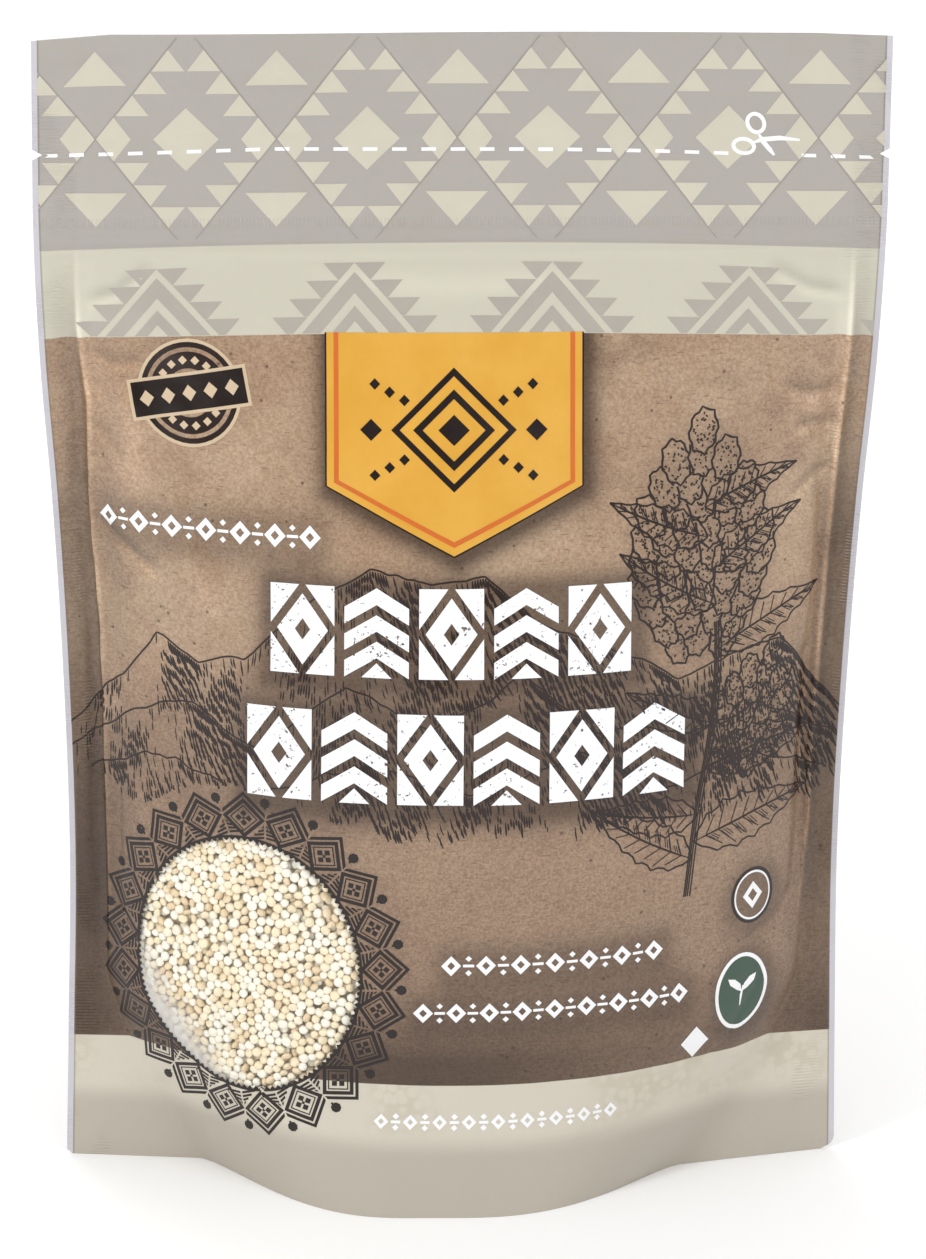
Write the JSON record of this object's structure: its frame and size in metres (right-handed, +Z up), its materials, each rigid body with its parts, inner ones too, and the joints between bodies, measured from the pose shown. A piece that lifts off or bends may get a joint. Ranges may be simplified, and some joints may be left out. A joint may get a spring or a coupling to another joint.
{
  "type": "stand-up pouch of white quinoa",
  "caption": "Shut stand-up film pouch of white quinoa with a press zip, tear notches, flat side seals, a gusset base and a clear window low on its front.",
  "frame": {"origin": "on the floor under the middle of the standing pouch, which is the middle of the gusset's flat", "axes": "+Z up to the top edge, -Y towards the printed front with the window, +X to the right as seen from the front"},
  "size_m": [0.178, 0.0691, 0.254],
  "materials": {
    "kraft_film": "semi-matte printed laminate film, kraft brown with a grey header and cream bands",
    "clear_film": "clear glossy film over the window and along the side edges",
    "quinoa_grain": "dry ivory grains, matte with a faint sheen"
  },
  "bodies": {
    "root": {"pouch": "kraft_film", "quinoa": "quinoa_grain"}
  },
  "joints": []
}
